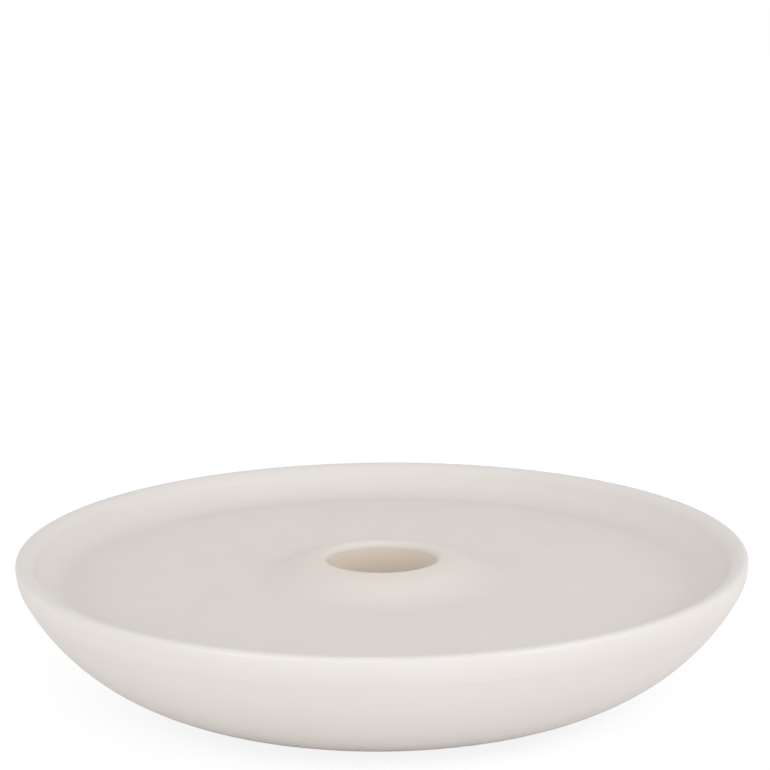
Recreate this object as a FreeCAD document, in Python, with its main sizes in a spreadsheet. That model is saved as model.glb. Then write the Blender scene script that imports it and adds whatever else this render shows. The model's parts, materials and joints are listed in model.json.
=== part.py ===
"""Ceramic candle plate: a shallow double-walled dish with a candle socket, standing on felt pads.

Frame: millimetres, +Z up, origin on the table under the centre of the plate.
The dish is one hollow casting. Its whole half-section is drawn in one sketch, outer skin
and casting cavity together, and turned about the socket's axis.
"""
import FreeCAD, Part
import math
import os

import Sketcher

SIZES = (
    ("plate_radius", 75.0, "widest line of the dish, just below the lip"),
    ("body_height", 27.0, "foot to the crest of the lip"),
    ("base_radius", 48.6, "outer edge of the flat foot"),
    ("wall_radius", 44.4, "long arc of the outer wall"),
    ("shoulder_radius", 10.0, "arc that brings the wall upright"),
    ("lip_outer_radius", 1.0, "rounding of the lip's outer edge"),
    ("lip_inner_radius", 3.3, "rounding of the lip into the dish"),
    ("cove_radius", 8.2, "hollow arc from the lip to the dish floor"),
    ("dish_depth", 6.1, "crest of the lip to the edge of the dish floor"),
    ("floor_fall_share", 0.005, "fall of the dish floor per length outwards"),
    ("boss_below_lip", 1.75, "crest of the lip to the top of the socket's mouth"),
    ("boss_crown_radius", 11.0, "rounded shoulder of the boss"),
    ("boss_foot_radius", 15.0, "hollow arc from the dish floor to the boss"),
    ("socket_radius", 11.4, "bore for the candle"),
    ("socket_depth", 17.0, "mouth to bottom of the socket"),
    ("mouth_radius", 1.4, "rounding of the socket's mouth"),
    ("socket_toe", 1.5, "slope at the bottom of the socket"),
    ("skin", 4.0, "thickness of the cast wall"),
    ("recess_radius", 28.0, "rim of the glazed recess inside the bare foot"),
    ("recess_depth", 1.2, "height of that recess"),
    ("recess_draft", 0.8, "how far the recess narrows to its roof"),
    ("drain_radius", 4.0, "hole where the slip drains and the air leaves"),
    ("drain_circle_radius", 21.0, "distance of that hole from the axis"),
    ("pad_radius", 6.0, "felt pad"),
    ("pad_thickness", 2.0, "felt pad"),
    ("pad_circle_radius", 35.5, "distance of the pads from the axis"),
    ("cut_overrun", 1.0, "how far a cut runs past what it cuts"),
)
PAD_PLACES = (
    ("felt_pad_front_right", -45.0),
    ("felt_pad_back_right", 45.0),
    ("felt_pad_back_left", 135.0),
    ("felt_pad_front_left", -135.0),
)
UP = FreeCAD.Vector(0, 0, 1)

doc = FreeCAD.newDocument("candle_plate")
sheet = doc.addObject("Spreadsheet::Sheet", "Sizes")
for row, (alias, number, note) in enumerate(SIZES, start=1):
    sheet.set(f"A{row}", alias)
    sheet.set(f"B{row}", str(number))
    sheet.setAlias(f"B{row}", alias)
    sheet.set(f"C{row}", note)
doc.recompute()


def origin_plane(body, role):
    """One of the body's own origin planes."""
    return next(item for item in body.Origin.OriginFeatures if item.Role == role)


def new_sketch(body, name, role):
    sketch = body.newObject("Sketcher::SketchObject", name)
    sketch.AttachmentSupport = (origin_plane(body, role), "")
    sketch.MapMode = "FlatFace"
    return sketch


def dimension(sketch, name, kind, references, expression):
    """A driving dimension, tied to the sheet by an expression."""
    value = sketch.evalExpression(expression)
    if kind == "Angle":
        value = math.radians(value.Value)
    index = sketch.addConstraint(Sketcher.Constraint(kind, *references, value))
    sketch.renameConstraint(index, name)
    sketch.setExpression("Constraints." + name, expression)


def point(across, up):
    return FreeCAD.Vector(across, up, 0)


def along(start, end, distance):
    """The point at a distance from start, on the line towards end."""
    return start + (end - start).normalize() * distance


def crossing(first, first_reach, second, second_reach):
    """Where two circles cross, on the left of the line from first to second."""
    line = second - first
    foot = (first_reach ** 2 - second_reach ** 2 + line.Length ** 2) / (2 * line.Length)
    rise = math.sqrt(first_reach ** 2 - foot ** 2)
    ahead = point(line.x, line.y).normalize()
    return first + ahead * foot + point(-ahead.y, ahead.x) * rise


def on_line(start, direction, centre, reach):
    """The last point of a line that is at a reach from a centre."""
    ahead = (centre - start).dot(direction)
    aside = (centre - start - direction * ahead).Length
    return start + direction * (ahead + math.sqrt(reach ** 2 - aside ** 2))


class Outline:
    """A closed outline in a sketch, drawn piece after piece."""

    def __init__(self, sketch):
        self.sketch = sketch
        self.piece = {}
        self.entry = {}
        self.exit = {}

    def line(self, name, start, end):
        self.piece[name] = self.sketch.addGeometry(Part.LineSegment(start, end), False)
        self.entry[name] = 1
        self.exit[name] = 2

    def arc(self, name, centre, start, end, clockwise=False):
        first, last = (end, start) if clockwise else (start, end)
        circle = Part.Circle(centre, UP, (start - centre).Length)
        first_angle = math.atan2(first.y - centre.y, first.x - centre.x)
        last_angle = math.atan2(last.y - centre.y, last.x - centre.x)
        self.piece[name] = self.sketch.addGeometry(Part.ArcOfCircle(circle, first_angle, last_angle), False)
        self.entry[name] = 2 if clockwise else 1
        self.exit[name] = 1 if clockwise else 2

    def join(self, before, after, kind):
        """Joins the end of one piece to the start of the next, Tangent or Coincident."""
        ends = (self.piece[before], self.exit[before], self.piece[after], self.entry[after])
        self.sketch.addConstraint(Sketcher.Constraint(kind, *ends))

    def start(self, name):
        return self.piece[name], self.entry[name]

    def centre(self, name):
        return self.piece[name], 3

    def radius(self, name, expression):
        dimension(self.sketch, name + "_size", "Radius", (self.piece[name],), expression)

    def across(self, name, place, expression):
        """Distance of a point from the axis."""
        dimension(self.sketch, name, "DistanceX", (-1, 1, *place), expression)

    def height(self, name, place, expression):
        """Height of a point over the table."""
        dimension(self.sketch, name, "DistanceY", (-1, 1, *place), expression)

    def relate(self, kind, *references):
        self.sketch.addConstraint(Sketcher.Constraint(kind, *references))


def draw_skin(outline):
    """The outside of the half-section, from the foot round to the axis. Gives the centre of the wall's arc."""
    foot = sheet.pad_thickness
    crest = foot + sheet.body_height
    roof = foot + sheet.recess_depth
    lip_across = sheet.plate_radius - sheet.lip_outer_radius
    mouth_across = sheet.socket_radius + sheet.mouth_radius
    mouth = crest - sheet.boss_below_lip
    bottom = mouth - sheet.socket_depth
    fall = math.atan(sheet.floor_fall_share)
    outwards = point(math.cos(fall), -math.sin(fall))
    square = point(math.sin(fall), math.cos(fall))

    foot_edge = point(sheet.base_radius, foot)
    widest = point(sheet.plate_radius, crest - sheet.lip_outer_radius)
    shoulder = widest - point(sheet.shoulder_radius, 0)
    wall = crossing(foot_edge, sheet.wall_radius, shoulder, sheet.wall_radius - sheet.shoulder_radius)
    wall_end = along(wall, shoulder, sheet.wall_radius)
    lip_outer = point(lip_across, widest.y)
    lip_inner = point(lip_across, crest - sheet.lip_inner_radius)

    cove_level = crest - sheet.dish_depth + sheet.cove_radius * square.y
    cove_reach = sheet.lip_inner_radius + sheet.cove_radius
    cove = on_line(point(0, cove_level), point(-1, 0), lip_inner, cove_reach)
    cove_foot = cove - square * sheet.cove_radius
    lip_end = along(lip_inner, cove, sheet.lip_inner_radius)

    crown = point(mouth_across, mouth - sheet.boss_crown_radius)
    blend_line = cove_foot + square * sheet.boss_foot_radius
    blend = on_line(blend_line, outwards, crown, sheet.boss_foot_radius + sheet.boss_crown_radius)
    blend_foot = blend - square * sheet.boss_foot_radius
    crown_end = along(crown, blend, sheet.boss_crown_radius)
    mouth_centre = point(mouth_across, mouth - sheet.mouth_radius)
    toe_top = point(sheet.socket_radius, bottom + sheet.socket_toe)
    toe_end = point(sheet.socket_radius - sheet.socket_toe, bottom)
    roof_edge = point(sheet.recess_radius - sheet.recess_draft, roof)

    outline.line("recess_roof", point(0, roof), roof_edge)
    outline.line("recess_side", roof_edge, point(sheet.recess_radius, foot))
    outline.line("foot", point(sheet.recess_radius, foot), foot_edge)
    outline.arc("wall", wall, foot_edge, wall_end)
    outline.arc("shoulder", shoulder, wall_end, widest)
    outline.arc("lip_outer", lip_outer, widest, point(lip_across, crest))
    outline.arc("lip_inner", lip_inner, point(lip_across, crest), lip_end)
    outline.arc("cove", cove, lip_end, cove_foot, clockwise=True)
    outline.line("floor", cove_foot, blend_foot)
    outline.arc("boss_foot", blend, blend_foot, crown_end, clockwise=True)
    outline.arc("boss_crown", crown, crown_end, point(mouth_across, mouth))
    outline.arc("mouth", mouth_centre, point(mouth_across, mouth), point(sheet.socket_radius, mouth_centre.y))
    outline.line("socket_side", point(sheet.socket_radius, mouth_centre.y), toe_top)
    outline.line("socket_toe", toe_top, toe_end)
    outline.line("socket_bottom", toe_end, point(0, bottom))
    outline.line("axis", point(0, bottom), point(0, roof))
    return wall


def hold_skin(outline):
    """Joins and dimensions of the outside."""
    for before, after in (("axis", "recess_roof"), ("recess_roof", "recess_side"), ("recess_side", "foot"),
                          ("foot", "wall"), ("socket_side", "socket_toe"), ("socket_toe", "socket_bottom"),
                          ("socket_bottom", "axis")):
        outline.join(before, after, "Coincident")
    chain = ("wall", "shoulder", "lip_outer", "lip_inner", "cove", "floor", "boss_foot", "boss_crown",
             "mouth", "socket_side")
    for before, after in zip(chain, chain[1:]):
        outline.join(before, after, "Tangent")
    for name in ("recess_roof", "foot", "socket_bottom"):
        outline.relate("Horizontal", outline.piece[name])
    for name in ("socket_side", "axis"):
        outline.relate("Vertical", outline.piece[name])
    outline.relate("PointOnObject", *outline.start("recess_roof"), -2)
    outline.relate("Horizontal", *outline.centre("shoulder"), *outline.centre("lip_outer"))
    outline.relate("Vertical", *outline.centre("lip_outer"), *outline.centre("lip_inner"))
    outline.relate("Vertical", *outline.centre("boss_crown"), *outline.centre("mouth"))

    for name in ("wall", "shoulder", "lip_outer", "lip_inner", "cove", "boss_foot", "boss_crown", "mouth"):
        outline.radius(name, "Sizes." + name + "_radius")
    outline.across("recess_top", outline.start("recess_side"), "Sizes.recess_radius - Sizes.recess_draft")
    outline.across("recess_edge", outline.start("foot"), "Sizes.recess_radius")
    outline.across("foot_edge", outline.start("wall"), "Sizes.base_radius")
    outline.across("widest", outline.start("lip_outer"), "Sizes.plate_radius")
    outline.across("bore", outline.start("socket_side"), "Sizes.socket_radius")
    outline.across("toe_edge", outline.start("socket_bottom"), "Sizes.socket_radius - Sizes.socket_toe")
    foot = "Sizes.pad_thickness"
    crest = foot + " + Sizes.body_height"
    mouth = crest + " - Sizes.boss_below_lip"
    bottom = mouth + " - Sizes.socket_depth"
    outline.height("recess_level", outline.start("recess_roof"), foot + " + Sizes.recess_depth")
    outline.height("foot_level", outline.start("foot"), foot)
    outline.height("crest_level", outline.start("lip_inner"), crest)
    outline.height("floor_level", outline.start("floor"), crest + " - Sizes.dish_depth")
    outline.height("mouth_level", outline.start("mouth"), mouth)
    outline.height("toe_level", outline.start("socket_toe"), bottom + " + Sizes.socket_toe")
    outline.height("bottom_level", outline.start("socket_bottom"), bottom)
    slope = "180deg - atan(Sizes.floor_fall_share)"
    dimension(outline.sketch, "floor_slope", "Angle", (outline.piece["floor"],), slope)


def draw_cavity(outline, wall):
    """The hollow inside the casting, one skin away from the recess, the wall, the dish and the socket."""
    lift = sheet.pad_thickness + sheet.recess_depth + sheet.skin
    ceiling = sheet.pad_thickness + sheet.body_height - sheet.dish_depth - sheet.skin
    cup = sheet.socket_radius + sheet.skin
    reach = sheet.wall_radius - sheet.skin
    low = on_line(point(0, lift), point(1, 0), wall, reach)
    high = on_line(point(0, ceiling), point(1, 0), wall, reach)

    outline.line("cavity_floor", point(cup, lift), low)
    outline.line("cavity_wall", low, high)
    outline.line("cavity_roof", high, point(cup, ceiling))
    outline.line("cup_side", point(cup, ceiling), point(cup, lift))


def hold_cavity(outline):
    """Joins and dimensions of the cavity."""
    chain = ("cavity_floor", "cavity_wall", "cavity_roof", "cup_side", "cavity_floor")
    for before, after in zip(chain, chain[1:]):
        outline.join(before, after, "Coincident")
    outline.relate("Horizontal", outline.piece["cavity_floor"])
    outline.relate("Horizontal", outline.piece["cavity_roof"])
    outline.relate("Vertical", outline.piece["cup_side"])
    outline.across("cup_wall", outline.start("cavity_floor"), "Sizes.socket_radius + Sizes.skin")
    lift = "Sizes.pad_thickness + Sizes.recess_depth + Sizes.skin"
    ceiling = "Sizes.pad_thickness + Sizes.body_height - Sizes.dish_depth - Sizes.skin"
    outline.height("cavity_low", outline.start("cavity_floor"), lift)
    outline.height("cavity_high", outline.start("cavity_roof"), ceiling)
    for name, corner in (("low_skin", "cavity_wall"), ("high_skin", "cavity_roof")):
        ends = (*outline.centre("wall"), *outline.start(corner))
        dimension(outline.sketch, name, "Distance", ends, "Sizes.wall_radius - Sizes.skin")


def plate_body():
    """The casting: the turned section and the drain hole."""
    body = doc.addObject("PartDesign::Body", "plate_body")
    section = new_sketch(body, "half_section", "XZ_Plane")
    outline = Outline(section)
    wall = draw_skin(outline)
    draw_cavity(outline, wall)
    hold_skin(outline)
    hold_cavity(outline)
    casting = body.newObject("PartDesign::Revolution", "casting")
    casting.Profile = section
    casting.ReferenceAxis = (section, ["V_Axis"])
    casting.Angle = 360
    section.Visibility = False
    doc.recompute()

    spot = new_sketch(body, "drain_circle", "XY_Plane")
    ring = spot.addGeometry(Part.Circle(point(sheet.drain_circle_radius, 0), UP, sheet.drain_radius))
    spot.addConstraint(Sketcher.Constraint("PointOnObject", ring, 3, -1))
    dimension(spot, "from_axis", "DistanceX", (-1, 1, ring, 3), "Sizes.drain_circle_radius")
    dimension(spot, "drain_size", "Radius", (ring,), "Sizes.drain_radius")
    drain = body.newObject("PartDesign::Pocket", "drain_hole")
    drain.Profile = spot
    drain.Reversed = True
    through = "Sizes.pad_thickness + Sizes.recess_depth + Sizes.skin + Sizes.cut_overrun"
    drain.setExpression("Length", through)
    body.Tip = drain
    return body


def felt_pad(name, angle):
    """One felt disc under the foot."""
    body = doc.addObject("PartDesign::Body", name)
    disc = new_sketch(body, name + "_disc", "XY_Plane")
    ring = disc.addGeometry(Part.Circle(point(0, 0), UP, sheet.pad_radius))
    disc.addConstraint(Sketcher.Constraint("Coincident", ring, 3, -1, 1))
    dimension(disc, "pad_size", "Radius", (ring,), "Sizes.pad_radius")
    felt = body.newObject("PartDesign::Pad", name + "_felt")
    felt.Profile = disc
    felt.setExpression("Length", "Sizes.pad_thickness")
    body.Tip = felt
    body.setExpression("Placement.Base.x", f"Sizes.pad_circle_radius * cos({angle}deg)")
    body.setExpression("Placement.Base.y", f"Sizes.pad_circle_radius * sin({angle}deg)")
    return body


bodies = [plate_body()]
bodies += [felt_pad(name, angle) for name, angle in PAD_PLACES]
doc.recompute()

for item in doc.Objects:
    if "Invalid" in item.State or "Error" in item.State:
        raise RuntimeError(f"{item.Name} failed: {item.State}")
for body in bodies:
    if body.Shape.isNull() or not body.Shape.isValid():
        raise RuntimeError(f"{body.Label} has no valid solid")
os.makedirs("parts", exist_ok=True)
for body in bodies:
    body.Shape.exportStep(f"parts/{body.Label}.step")
    print(body.Label, len(body.Shape.Solids), round(body.Shape.Volume))
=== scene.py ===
"""Ivory candle plate on a pale floor, seen from a little above in soft studio light.

Metres, +Z up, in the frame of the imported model. The camera's numbers come from a fit to the
photograph's outline. The rest follows the model's own boxes and the roundings of its section.
"""
import json
import math
from typing import NamedTuple

import bmesh
import bpy
from mathutils import Matrix, Vector, noise

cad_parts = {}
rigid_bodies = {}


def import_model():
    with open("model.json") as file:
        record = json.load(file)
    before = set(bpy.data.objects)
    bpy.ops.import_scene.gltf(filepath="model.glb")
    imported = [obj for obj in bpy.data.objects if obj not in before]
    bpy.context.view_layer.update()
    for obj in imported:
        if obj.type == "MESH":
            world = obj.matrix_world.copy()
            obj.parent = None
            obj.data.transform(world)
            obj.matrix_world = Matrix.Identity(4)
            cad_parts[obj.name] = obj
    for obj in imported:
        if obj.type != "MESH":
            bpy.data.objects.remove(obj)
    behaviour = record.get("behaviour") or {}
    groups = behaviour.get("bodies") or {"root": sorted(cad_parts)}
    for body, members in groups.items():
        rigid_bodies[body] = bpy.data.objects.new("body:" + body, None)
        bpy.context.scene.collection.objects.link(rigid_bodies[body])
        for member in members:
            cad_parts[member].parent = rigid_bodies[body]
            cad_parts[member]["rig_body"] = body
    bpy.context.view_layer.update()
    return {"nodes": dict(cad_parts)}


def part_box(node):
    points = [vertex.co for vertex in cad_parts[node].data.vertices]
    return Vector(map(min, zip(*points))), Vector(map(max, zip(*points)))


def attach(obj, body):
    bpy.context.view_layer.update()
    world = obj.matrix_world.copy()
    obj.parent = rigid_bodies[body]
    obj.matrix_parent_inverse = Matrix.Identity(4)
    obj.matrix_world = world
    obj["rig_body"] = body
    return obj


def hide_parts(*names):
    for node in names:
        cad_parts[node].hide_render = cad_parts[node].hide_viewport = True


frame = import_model()


class Arc(NamedTuple):
    """A rounding turned about the axis: the centre and radius of its arc, and the span it takes."""

    across: float
    up: float
    radius: float
    inner: float
    outer: float
    lowest: float


class Texture(NamedTuple):
    """A noise: how wide its features are, how much finer noise lies on them, and its seed."""

    width: float
    detail: float
    seed: float
    roughness: float = 0.5


# Millimetres in metres, and how far apart two places may lie and still count as one.
MM = 0.001
TOLERANCE = 0.002 * MM

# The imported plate.
PLATE = "plate_body"
PLATE_LOW, PLATE_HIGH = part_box(PLATE)
FOOT = PLATE_LOW.z
CREST = PLATE_HIGH.z
RIM = PLATE_HIGH.x

# Levels and distances from the axis in the plate's section.
MOUTH = CREST - 1.75 * MM
DISH_FLOOR = CREST - 6.1 * MM
SOCKET_FLOOR = FOOT + 7 * MM
COVE = 0.87 * RIM
BOSS_EDGE = 0.4 * RIM
BOSS_FOOT = 0.33 * RIM
RECESS = 0.373 * RIM

# Roundings of the section.
LIP_OUTER_RADIUS = 1 * MM
LIP_INNER_RADIUS = 3.3 * MM
LIP_INNER_BEND = math.radians(62)
LIP_TOP = RIM - LIP_OUTER_RADIUS
SOCKET_RADIUS = 11.4 * MM
MOUTH_RADIUS = 1.4 * MM
OUTER_LIP = Arc(
    across=LIP_TOP,
    up=CREST - LIP_OUTER_RADIUS,
    radius=LIP_OUTER_RADIUS,
    inner=LIP_TOP,
    outer=RIM,
    lowest=CREST - LIP_OUTER_RADIUS,
)
INNER_LIP = Arc(
    across=LIP_TOP,
    up=CREST - LIP_INNER_RADIUS,
    radius=LIP_INNER_RADIUS,
    inner=LIP_TOP - LIP_INNER_RADIUS * math.sin(LIP_INNER_BEND),
    outer=LIP_TOP,
    lowest=CREST - LIP_INNER_RADIUS * (1 - math.cos(LIP_INNER_BEND)),
)
SOCKET_MOUTH = Arc(
    across=SOCKET_RADIUS + MOUTH_RADIUS,
    up=MOUTH - MOUTH_RADIUS,
    radius=MOUTH_RADIUS,
    inner=SOCKET_RADIUS,
    outer=SOCKET_RADIUS + MOUTH_RADIUS,
    lowest=MOUTH - MOUTH_RADIUS,
)

# Camera, fitted to the photograph's outline.
FRAME_PIXELS = 770
SENSOR_MM = 36.0
FOCAL_PIXELS = 2870.5
DISTANCE = 0.600
ELEVATION = math.radians(17.9)
ROLL = math.radians(0.464)
FOOT_PIXEL = (382.8, 673.2)
CLIP_START = 0.01

# Colours.
IVORY = (0.705, 0.656, 0.607)
# IVORY_WARM is the warm tone of the clouds, and also the colour of the painted shade in the cove
# and round the boss foot.
IVORY_WARM = (0.68, 0.625, 0.565)
IVORY_THIN = (0.735, 0.705, 0.665)
# Painted light and shade: a warm tone on the top of the boss round the mouth, set to the tones that
# the light gives there.
CROWN_PAINTED_TONE = (0.708, 0.644, 0.573)
# Painted reflection: a warm tint for the light that bounces about inside the socket, whose glaze is
# the same ivory.
SOCKET_REFLECTION_TINT = (0.76, 0.68, 0.58)
CLAY = (0.60, 0.50, 0.39)
CLAY_DARK = (0.47, 0.38, 0.29)
FELT = (0.55, 0.53, 0.50)
FELT_DARK = (0.40, 0.385, 0.36)
WHITE = (1.0, 1.0, 1.0)
FLOOR = (0.97, 0.97, 0.97)

# Tint of the glaze: clouds, painted shade in the cove and round the boss foot, painted warm light
# and shade on the boss near the mouth, painted warm reflected light in the socket, and zones
# between two heights.
CLOUDS = Texture(width=30 * MM, detail=3.0, seed=1.0)
CLOUD_BAND = (0.35, 0.65)
CLOUD_SHARE = 0.35
# Painted shade: a warm, darker tint low in the cove and round the foot of the boss, where the
# creases lie in shade.
CREASE_SHADE_BAND = (DISH_FLOOR, DISH_FLOOR + 3.5 * MM)
DISH_FLOOR_BAND = (DISH_FLOOR - 2 * MM, DISH_FLOOR)
COVE_SHADE_REACH = 7 * MM
BOSS_SHADE_REACH = 5 * MM
BOSS_SHADE_SHARE = 0.3
CREASE_SHADE_SHARE = 0.65
THIN_BAND = (CREST - 2.5 * MM, CREST - 0.2 * MM)
THIN_SHARE = 0.4
# Painted light and shade on the boss top, in the band just below the mouth.
CROWN_BAND = (MOUTH - 2.2 * MM, MOUTH)
CROWN_SHARE = 0.8
# Where the painted warm reflected light inside the socket begins, and how far out from the axis it
# reaches.
SOCKET_REFLECTION_BAND = (MOUTH - 2.2 * MM, MOUTH - 0.7 * MM)
SOCKET_REFLECTION_EDGE = 12.5 * MM

# Gloss and relief of the glaze.
GLOSS = Texture(width=8 * MM, detail=3.0, seed=4.0)
GLOSS_BAND = (0.3, 0.7)
GLAZE_ROUGHNESS = (0.36, 0.44)
GLAZE_IOR = 1.5
WAVE = Texture(width=14 * MM, detail=1.0, seed=5.0)
WAVE_HEIGHT = 0.10 * MM
PEEL = Texture(width=1.1 * MM, detail=2.0, seed=6.0)
PEEL_HEIGHT = 0.010 * MM
GLAZE_RELIEF = 0.35

# Bare clay of the foot ring, and the ragged border where the glaze ends.
GRAIN = Texture(width=0.5 * MM, detail=4.0, seed=2.0, roughness=0.6)
GRAIN_BAND = (0.35, 0.7)
GRAIN_HEIGHT = 0.12 * MM
GRAIN_RELIEF = 0.7
CLAY_ROUGHNESS = 0.92
RAGS = Texture(width=2.5 * MM, detail=2.0, seed=3.0)
RAG_HEIGHT = 0.35 * MM
BORDER_BAND = (FOOT - 0.02 * MM, FOOT + 0.06 * MM)
RECESS_BAND = (RECESS, RECESS + 0.3 * MM)

# Felt: two layers of fibres that cross, each drawn out to four times its width.
FIBRES = Texture(width=0.25 * MM, detail=4.0, seed=1.0, roughness=0.6)
FIBRE_LAYERS = (
    ((0.25, 1.0, 1.0), FIBRES),
    ((1.0, 0.25, 1.0), FIBRES._replace(seed=2.0)),
)
FIBRE_BAND = (0.45, 0.75)
FIBRE_HEIGHT = 0.25 * MM
FIBRE_RELIEF = 0.8
FELT_ROUGHNESS = 0.95
FELT_SHEEN = 0.3
FELT_SHEEN_ROUGHNESS = 0.5

# Felt discs: how far the lower edge is worn, how deep and wide the unevenness is, with the
# increment, lacunarity and octaves of its noise, and how finely the mesh is divided.
PAD_WORN = 0.5 * MM
PAD_DENT = 0.12 * MM
PAD_TUFT = 1.2 * MM
PAD_FRACTAL = (0.7, 2.0, 3)
PAD_STEPS = 72
PAD_BENDS = 6
PAD_RINGS = (0.25, 0.5, 0.75)
SHARP_ANGLE = math.radians(50)

# Floor: how white the camera sees it, its size and level, and its slow change of tone.
FLOOR_WHITE_SHARE = 0.8
FLOOR_WHITE = 1.07
FLOOR_REACH = 6.0
FLOOR_LEVEL = -0.02 * MM
FLOOR_CLOUDS = Texture(width=0.5, detail=2.0, seed=1.0)
FLOOR_CLOUD_BAND = (0.2, 0.8)
FLOOR_TONES = (0.985, 1.0)

# Studio: an even tent, and soft boxes placed by azimuth and elevation in degrees; -90 is the front.
TENT_STRENGTH = 0.785
BOX_DISTANCE = 1.0
BOX_SIZE = 0.4
BOX_TINT = (0.96, 1.0, 1.10)
SOFT_BOXES = (
    ("front_left", -130, 14, 1.95),
    ("front_low", -90, 4, 0.55),
    ("front_high", -90, 45, 0.5),
    ("front_right", -35, 14, 1.25),
    ("right_high", -40, 35, 1.2),
    ("right", 5, 25, 0.55),
)

# Sockets that the Mix node uses for each kind of value: first, second and result.
MIX_SOCKETS = {"FLOAT": (2, 3, 0), "RGBA": (6, 7, 2)}


class Tree:
    """A node tree, with short calls for the nodes used here."""

    def __init__(self, tree):
        self.tree = tree

    def add(self, kind, *values, **settings):
        """A node with its first inputs fed in turn; None leaves one as it is."""
        node = self.tree.nodes.new(kind)
        for name, value in settings.items():
            setattr(node, name, value)
        for value, socket in zip(values, node.inputs):
            if value is not None:
                self.put(value, socket)
        return node

    def put(self, value, socket):
        """Links a socket to another, or sets it to a plain value."""
        if isinstance(value, bpy.types.NodeSocket):
            self.tree.links.new(value, socket)
        elif isinstance(value, tuple) and len(value) == 3 and socket.type == "RGBA":
            socket.default_value = (*value, 1.0)
        else:
            socket.default_value = value

    def math(self, operation, first, second=0.0):
        """The result of a sum on one or two numbers."""
        return self.add("ShaderNodeMath", first, second, operation=operation).outputs[0]

    def times(self, first, *others):
        """The product of two or more values."""
        for value in others:
            first = self.math("MULTIPLY", first, value)
        return first

    def vector(self, operation, *values):
        """The result of a sum on vectors, where it is a vector too."""
        return self.add("ShaderNodeVectorMath", *values, operation=operation).outputs["Vector"]


class MaterialTree(Tree):
    """The node tree of a new material."""

    def __init__(self, name):
        self.material = bpy.data.materials.new(name)
        self.material.use_nodes = True
        super().__init__(self.material.node_tree)
        self.tree.nodes.clear()
        self.output = self.add("ShaderNodeOutputMaterial")

    def place(self):
        """Places on the object in metres: the vector, the distance from the axis and the height."""
        coordinates = self.add("ShaderNodeTexCoord").outputs["Object"]
        height = self.add("ShaderNodeSeparateXYZ", coordinates).outputs["Z"]
        flat = self.vector("MULTIPLY", coordinates, (1.0, 1.0, 0.0))
        radius = self.add("ShaderNodeVectorMath", flat, operation="LENGTH").outputs["Value"]
        return coordinates, radius, height

    def ramp(self, value, start, end, low=0.0, high=1.0):
        """A smooth step from low at start to high at end."""
        values = (value, start, end, low, high)
        return self.add("ShaderNodeMapRange", *values, interpolation_type="SMOOTHSTEP").outputs[0]

    def fall(self, value, start, end):
        """A smooth step from one at start to nothing at end."""
        return self.ramp(value, start, end, 1.0, 0.0)

    def bump_near(self, value, centre, reach):
        """One at the centre, falling smoothly to nothing at a reach on both sides."""
        away = self.math("ABSOLUTE", self.math("SUBTRACT", value, centre))
        return self.fall(away, 0.0, reach)

    def noise(self, coordinates, texture):
        """Noise whose features are about as wide as the texture says."""
        node = self.add("ShaderNodeTexNoise", noise_dimensions="4D")
        self.put(coordinates, node.inputs["Vector"])
        self.put(texture.seed, node.inputs["W"])
        self.put(1.0 / texture.width, node.inputs["Scale"])
        self.put(texture.detail, node.inputs["Detail"])
        self.put(texture.roughness, node.inputs["Roughness"])
        return node.outputs[0]

    def mix(self, share, first, second, kind="RGBA"):
        """The first value where the share is nothing, the second where it is one."""
        node = self.add("ShaderNodeMix", share, data_type=kind)
        before, after, result = MIX_SOCKETS[kind]
        self.put(first, node.inputs[before])
        self.put(second, node.inputs[after])
        return node.outputs[result]

    def relief(self, height, distance, strength, normal=None):
        """A normal tilted by a height field, on top of another normal if there is one."""
        node = self.add("ShaderNodeBump")
        self.put(height, node.inputs["Height"])
        self.put(distance, node.inputs["Distance"])
        self.put(strength, node.inputs["Strength"])
        if normal is not None:
            self.put(normal, node.inputs["Normal"])
        return node.outputs[0]

    def surface(self, **inputs):
        """A Principled shader on the output; underscores in names stand for spaces."""
        shader = self.add("ShaderNodeBsdfPrincipled")
        for name, value in inputs.items():
            self.put(value, shader.inputs[name.replace("_", " ")])
        self.put(shader.outputs[0], self.output.inputs["Surface"])
        return self.material


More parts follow.
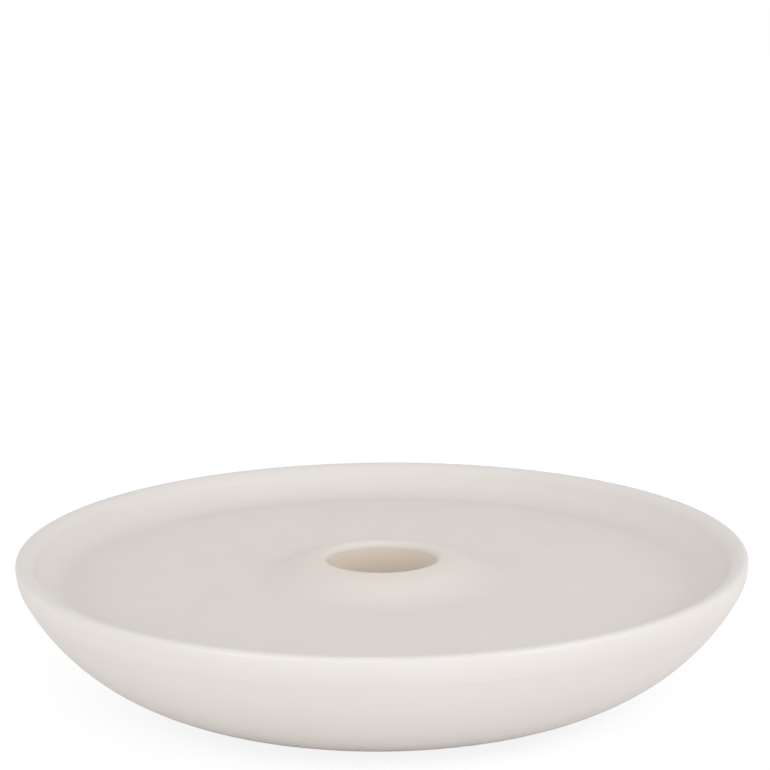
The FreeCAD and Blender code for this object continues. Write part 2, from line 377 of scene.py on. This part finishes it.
class TurnedTree(Tree):
    """A new geometry node tree for a turned piece, with each point's place and radius at hand."""

    def __init__(self, name):
        super().__init__(bpy.data.node_groups.new(name, "GeometryNodeTree"))
        geometry = "NodeSocketGeometry"
        for direction in ("INPUT", "OUTPUT"):
            self.tree.interface.new_socket("Geometry", in_out=direction, socket_type=geometry)
        self.position = self.add("GeometryNodeInputPosition").outputs[0]
        self.x, self.y, self.z = self.add("ShaderNodeSeparateXYZ", self.position).outputs
        squares = self.math("ADD", self.times(self.x, self.x), self.times(self.y, self.y))
        self.radius = self.math("SQRT", squares)

    def whole(self, operation, first, second):
        """A comparison of two whole numbers, which are the node's third and fourth inputs."""
        values = (None, None, first, second)
        settings = {"data_type": "INT", "operation": operation}
        return self.add("FunctionNodeCompare", *values, **settings).outputs[0]

    def on_domain(self, flag, domain):
        """A flag worked out on one domain and handed on to the one where it is used."""
        settings = {"data_type": "BOOLEAN", "domain": domain}
        return self.add("GeometryNodeFieldOnDomain", flag, **settings).outputs[0]

    def on(self, arc):
        """One on the points of an arc, nothing elsewhere."""
        past_inner = self.math("GREATER_THAN", self.radius, arc.inner - TOLERANCE)
        within_outer = self.math("LESS_THAN", self.radius, arc.outer + TOLERANCE)
        over_lowest = self.math("GREATER_THAN", self.z, arc.lowest - TOLERANCE)
        return self.times(past_inner, within_outer, over_lowest)

    def point(self, share, height):
        """The point at a share of this one's distance from the axis, and at a height."""
        across = (self.times(self.x, share), self.times(self.y, share))
        return self.add("ShaderNodeCombineXYZ", *across, height).outputs[0]

    def away(self, arc):
        """The direction straight away from the ring that an arc turns about."""
        share = self.math("DIVIDE", self.math("SUBTRACT", self.radius, arc.across), self.radius)
        return self.vector("NORMALIZE", self.point(share, self.math("SUBTRACT", self.z, arc.up)))

    def nearest(self, arc):
        """The nearest place on an arc."""
        ring = self.point(self.math("DIVIDE", arc.across, self.radius), arc.up)
        reach = (arc.radius, arc.radius, arc.radius)
        return self.vector("MULTIPLY_ADD", self.away(arc), reach, ring)


def glaze_tint(nodes, place, radius, height):
    """Cloudy ivory, with painted shade in the cove and round the boss foot, painted warm light and
    shade on the boss near the mouth, pale on the lip, and painted warm reflected light in the
    socket.
    """
    clouds = nodes.ramp(nodes.noise(place, CLOUDS), *CLOUD_BAND)
    tint = nodes.mix(nodes.times(clouds, CLOUD_SHARE), IVORY, IVORY_WARM)

    # Painted shade in the creases: a warm, darker tint low in the cove and round the boss foot.
    low = nodes.times(nodes.fall(height, *CREASE_SHADE_BAND), nodes.ramp(height, *DISH_FLOOR_BAND))
    cove = nodes.bump_near(radius, COVE, COVE_SHADE_REACH)
    boss = nodes.times(nodes.bump_near(radius, BOSS_FOOT, BOSS_SHADE_REACH), BOSS_SHADE_SHARE)
    crease_shade = nodes.times(nodes.math("MAXIMUM", cove, boss), low)
    tint = nodes.mix(nodes.times(crease_shade, CREASE_SHADE_SHARE), tint, IVORY_WARM)

    thin = nodes.ramp(height, *THIN_BAND)
    tint = nodes.mix(nodes.times(thin, THIN_SHARE), tint, IVORY_THIN)

    # Painted light and shade: a warm tone on the boss top round the mouth.
    on_boss = nodes.math("LESS_THAN", radius, BOSS_EDGE)
    crown = nodes.times(nodes.ramp(height, *CROWN_BAND), on_boss)
    tint = nodes.mix(nodes.times(crown, CROWN_SHARE), tint, CROWN_PAINTED_TONE)

    # Painted warm reflected light on the socket's wall, below the mouth.
    inside = nodes.math("LESS_THAN", radius, SOCKET_REFLECTION_EDGE)
    over_bottom = nodes.math("GREATER_THAN", height, SOCKET_FLOOR)
    socket = nodes.times(inside, nodes.fall(height, *SOCKET_REFLECTION_BAND), over_bottom)
    return nodes.mix(socket, tint, SOCKET_REFLECTION_TINT)


def bare_clay(nodes, place, radius, height):
    """One on the unglazed ring of the foot, up to its ragged border, and nothing elsewhere."""
    rags = nodes.times(nodes.noise(place, RAGS), RAG_HEIGHT)
    under = nodes.fall(nodes.math("SUBTRACT", height, rags), *BORDER_BAND)
    return nodes.times(under, nodes.ramp(radius, *RECESS_BAND))


def glaze_and_clay():
    """Satin ivory glaze with a soft wave and a fine peel, and the bare clay of the foot ring."""
    nodes = MaterialTree("ivory_glaze")
    place, radius, height = nodes.place()
    bare = bare_clay(nodes, place, radius, height)
    grain = nodes.noise(place, GRAIN)
    clay = nodes.mix(nodes.ramp(grain, *GRAIN_BAND), CLAY_DARK, CLAY)
    gloss = nodes.ramp(nodes.noise(place, GLOSS), *GLOSS_BAND, *GLAZE_ROUGHNESS)
    wave = nodes.relief(nodes.noise(place, WAVE), WAVE_HEIGHT, GLAZE_RELIEF)
    peel = nodes.relief(nodes.noise(place, PEEL), PEEL_HEIGHT, GLAZE_RELIEF, wave)
    return nodes.surface(
        Base_Color=nodes.mix(bare, glaze_tint(nodes, place, radius, height), clay),
        Roughness=nodes.mix(bare, gloss, CLAY_ROUGHNESS, kind="FLOAT"),
        Normal=nodes.relief(nodes.times(grain, bare), GRAIN_HEIGHT, GRAIN_RELIEF, peel),
        IOR=GLAZE_IOR,
    )


def felt():
    """Pressed wool: short fibres in two directions, and a soft sheen."""
    nodes = MaterialTree("felt")
    place, _, _ = nodes.place()
    layers = []
    for stretch, texture in FIBRE_LAYERS:
        drawn = nodes.add("ShaderNodeMapping", place)
        nodes.put(stretch, drawn.inputs["Scale"])
        layers.append(nodes.noise(drawn.outputs[0], texture))
    fibres = nodes.math("MAXIMUM", *layers)
    return nodes.surface(
        Base_Color=nodes.mix(nodes.ramp(fibres, *FIBRE_BAND), FELT_DARK, FELT),
        Roughness=FELT_ROUGHNESS,
        Sheen_Weight=FELT_SHEEN,
        Sheen_Roughness=FELT_SHEEN_ROUGHNESS,
        Normal=nodes.relief(fibres, FIBRE_HEIGHT, FIBRE_RELIEF),
    )


def floor_finish():
    """Pale studio floor. The camera sees it mostly white, and still sees the object's shadow."""
    nodes = MaterialTree("floor_finish")
    place, _, _ = nodes.place()
    tone = nodes.ramp(nodes.noise(place, FLOOR_CLOUDS), *FLOOR_CLOUD_BAND, *FLOOR_TONES)
    matte = nodes.add("ShaderNodeBsdfDiffuse", nodes.vector("SCALE", FLOOR, None, None, tone))
    white = nodes.add("ShaderNodeEmission", WHITE, FLOOR_WHITE)
    seen = nodes.add("ShaderNodeLightPath").outputs["Is Camera Ray"]
    share = nodes.times(seen, FLOOR_WHITE_SHARE)
    both = nodes.add("ShaderNodeMixShader", share, matte.outputs[0], white.outputs[0])
    nodes.put(both.outputs[0], nodes.output.inputs["Surface"])
    return nodes.material


def floor():
    """A wide flat floor, a hair under the felt."""
    mesh = bpy.data.meshes.new("floor")
    r = FLOOR_REACH
    corners = [(x, y, FLOOR_LEVEL) for x, y in ((-r, -r), (r, -r), (r, r), (-r, r))]
    mesh.from_pydata(corners, [], [(0, 1, 2, 3)])
    piece = bpy.data.objects.new("floor", mesh)
    bpy.context.scene.collection.objects.link(piece)
    mesh.materials.append(floor_finish())


def world(strength):
    """Even light from all round, and plain white where the camera sees it."""
    sky = bpy.data.worlds.new("tent")
    sky.use_nodes = True
    nodes = Tree(sky.node_tree)
    nodes.tree.nodes.clear()
    seen = nodes.add("ShaderNodeLightPath").outputs["Is Camera Ray"]
    ambient = nodes.add("ShaderNodeBackground", WHITE, strength)
    white = nodes.add("ShaderNodeBackground", WHITE)
    both = nodes.add("ShaderNodeMixShader", seen, ambient.outputs[0], white.outputs[0])
    nodes.add("ShaderNodeOutputWorld", both.outputs[0])
    bpy.context.scene.world = sky


def soft_box(name, azimuth, elevation, power):
    """A square area lamp that looks at the plate."""
    a, e = math.radians(azimuth), math.radians(elevation)
    away = Vector((math.cos(a) * math.cos(e), math.sin(a) * math.cos(e), math.sin(e)))
    lamp = bpy.data.lights.new(name, "AREA")
    lamp.shape = "SQUARE"
    lamp.size = BOX_SIZE
    lamp.energy = power
    lamp.color = BOX_TINT
    piece = bpy.data.objects.new(name, lamp)
    piece.location = away * BOX_DISTANCE
    piece.rotation_euler = away.to_track_quat("Z", "Y").to_euler()
    piece.visible_camera = False
    bpy.context.scene.collection.objects.link(piece)


def camera():
    """The camera that lands the centre of the plate's foot on its place in the photograph."""
    foot = Vector((0.0, 0.0, FOOT))
    side = Vector((1.0, 0.0, 0.0))
    forward = Vector((0.0, math.cos(ELEVATION), -math.sin(ELEVATION)))
    basis = Matrix((side, side.cross(forward), forward))
    middle = FRAME_PIXELS / 2
    across, down = FOOT_PIXEL
    ray = Vector(((across - middle) / FOCAL_PIXELS, (middle - down) / FOCAL_PIXELS, 1.0))
    turn = Vector((0.0, 0.0, 1.0)).rotation_difference(ray.normalized()).to_matrix()
    rows = turn @ Matrix.Rotation(ROLL, 3, "Z") @ basis
    axes = Matrix((rows[0], rows[1], -rows[2])).transposed()

    data = bpy.data.cameras.new("camera")
    data.sensor_width = SENSOR_MM
    data.lens = SENSOR_MM * FOCAL_PIXELS / FRAME_PIXELS
    data.clip_start = CLIP_START
    piece = bpy.data.objects.new("camera", data)
    piece.matrix_world = Matrix.Translation(foot - forward * DISTANCE) @ axes.to_4x4()
    bpy.context.scene.collection.objects.link(piece)
    bpy.context.scene.camera = piece


def refined(nodes, patch):
    """A patch of the outer lip, its facets split and set on the arc, and its outline as it was."""
    old_points = nodes.add("GeometryNodeAttributeDomainSize", patch).outputs["Point Count"]
    split = nodes.add("GeometryNodeSubdivideMesh", patch, 1).outputs[0]
    faces = nodes.add("GeometryNodeInputMeshEdgeNeighbors").outputs[0]
    outline = nodes.on_domain(nodes.whole("EQUAL", faces, 1), "EDGE")
    inside = nodes.math("SUBTRACT", 1.0, outline)
    on_arc = nodes.nearest(OUTER_LIP)
    rounded = nodes.add("GeometryNodeSetPosition", split, inside, on_arc).outputs[0]

    # The split also adds a point to each edge of the outline. It goes to one end of that edge: of
    # the edges that meet in the point, the first with the fewest faces leads there.
    ends = nodes.add("GeometryNodeInputMeshEdgeVertices").outputs
    both_ends = nodes.vector("ADD", ends["Position 1"], ends["Position 2"])
    edge = nodes.add("GeometryNodeEdgesOfVertex")
    nodes.put(faces, edge.inputs["Weights"])
    sampled = nodes.add("GeometryNodeFieldAtIndex", data_type="FLOAT_VECTOR", domain="EDGE")
    nodes.put(both_ends, sampled.inputs["Value"])
    nodes.put(edge.outputs["Edge Index"], sampled.inputs["Index"])
    other_end = nodes.vector("SUBTRACT", sampled.outputs[0], nodes.position)
    index = nodes.add("GeometryNodeInputIndex").outputs[0]
    added = nodes.times(outline, nodes.whole("GREATER_EQUAL", index, old_points))
    return nodes.add("GeometryNodeSetPosition", rounded, added, other_end).outputs[0]


def smooth_lip():
    """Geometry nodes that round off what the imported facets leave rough.

    On the +X half of the outer lip the longest facets leave the arc by a quarter of a millimetre,
    and their stored normals waver. So these facets are refined and welded to the others again. The
    shading normals of the three arcs point straight away from the ring that each turns about.
    """
    nodes = TurnedTree("smooth_lip")
    stored = nodes.add("GeometryNodeCaptureAttribute", domain="CORNER")
    stored.capture_items.new("VECTOR", "Normal")
    nodes.put(nodes.add("NodeGroupInput").outputs[0], stored.inputs[0])
    nodes.put(nodes.add("GeometryNodeInputNormal").outputs["Normal"], stored.inputs["Normal"])

    right_half = nodes.math("GREATER_THAN", nodes.x, -TOLERANCE)
    rough = nodes.on_domain(nodes.times(nodes.on(OUTER_LIP), right_half), "POINT")
    parts = nodes.add("GeometryNodeSeparateGeometry", stored.outputs[0], rough, domain="FACE")
    joined = nodes.add("GeometryNodeJoinGeometry")
    for part in (parts.outputs["Inverted"], refined(nodes, parts.outputs["Selection"])):
        nodes.put(part, joined.inputs[0])
    weld = (joined.outputs[0], nodes.on(OUTER_LIP), TOLERANCE / 2)
    welded = nodes.add("GeometryNodeMergeByDistance", *weld).outputs[0]

    normal = stored.outputs["Normal"]
    for arc in (OUTER_LIP, INNER_LIP, SOCKET_MOUTH):
        choice = (nodes.on(arc), normal, nodes.away(arc))
        normal = nodes.add("GeometryNodeSwitch", *choice, input_type="VECTOR").outputs[0]
    finish = nodes.add("GeometryNodeSetMeshNormal", welded, mode="FREE", domain="CORNER")
    nodes.put(normal, finish.inputs["Custom Normal"])
    nodes.add("NodeGroupOutput", finish.outputs[0])
    return nodes.tree


def disc_profile(radius, low, middle, high):
    """Half a felt disc's section, as distances from its axis and heights.

    It runs from the lower face over the worn edge and the side to the upper face.
    """
    profile = [(share * radius, low) for share in PAD_RINGS]
    for step in range(PAD_BENDS + 1):
        bend = math.radians(90 * step / PAD_BENDS)
        inset = PAD_WORN * (1 - math.sin(bend))
        profile.append((radius - inset, low + PAD_WORN * (1 - math.cos(bend))))
    profile += [(radius, middle), (radius, high - PAD_WORN / 4), (radius, high), (radius / 2, high)]
    return profile


def disc_point(across, height, turn, centre):
    """A point of a felt disc, pushed in by the unevenness of the wool, and up on its lower half."""
    place = Vector((across * math.cos(turn), across * math.sin(turn), height))
    dent = 0.5 + 0.5 * noise.fractal((place + centre) / PAD_TUFT, *PAD_FRACTAL)
    dent = PAD_DENT * min(max(dent, 0.0), 1.0)
    place.x -= dent * math.cos(turn)
    place.y -= dent * math.sin(turn)
    if height < centre.z:
        place.z += dent / 2
    return place + Vector((centre.x, centre.y, 0.0))


def disc_mesh(name, low, high):
    """A felt disc that fills the box between two corners."""
    centre = (low + high) / 2
    radius = (high.x - low.x) / 2
    turns = [2 * math.pi * step / PAD_STEPS for step in range(PAD_STEPS)]
    mesh = bmesh.new()
    rings = []
    for across, height in disc_profile(radius, low.z, centre.z, high.z):
        places = [disc_point(across, height, turn, centre) for turn in turns]
        rings.append([mesh.verts.new(place) for place in places])
    lower = mesh.verts.new((centre.x, centre.y, low.z))
    upper = mesh.verts.new((centre.x, centre.y, high.z))
    for step in range(PAD_STEPS):
        after = (step + 1) % PAD_STEPS
        mesh.faces.new((lower, rings[0][after], rings[0][step]))
        mesh.faces.new((upper, rings[-1][step], rings[-1][after]))
        for inner, outer in zip(rings, rings[1:]):
            mesh.faces.new((inner[step], inner[after], outer[after], outer[step]))
    for face in mesh.faces:
        face.smooth = True

    data = bpy.data.meshes.new(name)
    mesh.to_mesh(data)
    mesh.free()
    data.set_sharp_from_angle(angle=SHARP_ANGLE)
    return data


def felt_pad(node, material):
    """A die-cut felt disc in place of its plain solid, and inside its box.

    The glued face is flat with a crisp edge; the side and the lower face are uneven, and the lower
    edge is worn round.
    """
    name = node.replace("felt_pad", "felt_disc")
    data = disc_mesh(name, *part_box(node))
    data.materials.append(material)
    piece = bpy.data.objects.new(name, data)
    bpy.context.scene.collection.objects.link(piece)
    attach(piece, frame["nodes"][node]["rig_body"])
    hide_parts(node)


def dress(node, material):
    """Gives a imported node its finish."""
    piece = frame["nodes"][node]
    piece.data.materials.clear()
    piece.data.materials.append(material)


dress(PLATE, glaze_and_clay())
frame["nodes"][PLATE].modifiers.new("smooth_lip", "NODES").node_group = smooth_lip()
pad_finish = felt()
for name in frame["nodes"]:
    if name.startswith("felt_pad"):
        felt_pad(name, pad_finish)

floor()
world(TENT_STRENGTH)
for lamp in SOFT_BOXES:
    soft_box(*lamp)
camera()
bpy.context.scene.view_settings.view_transform = "Standard"
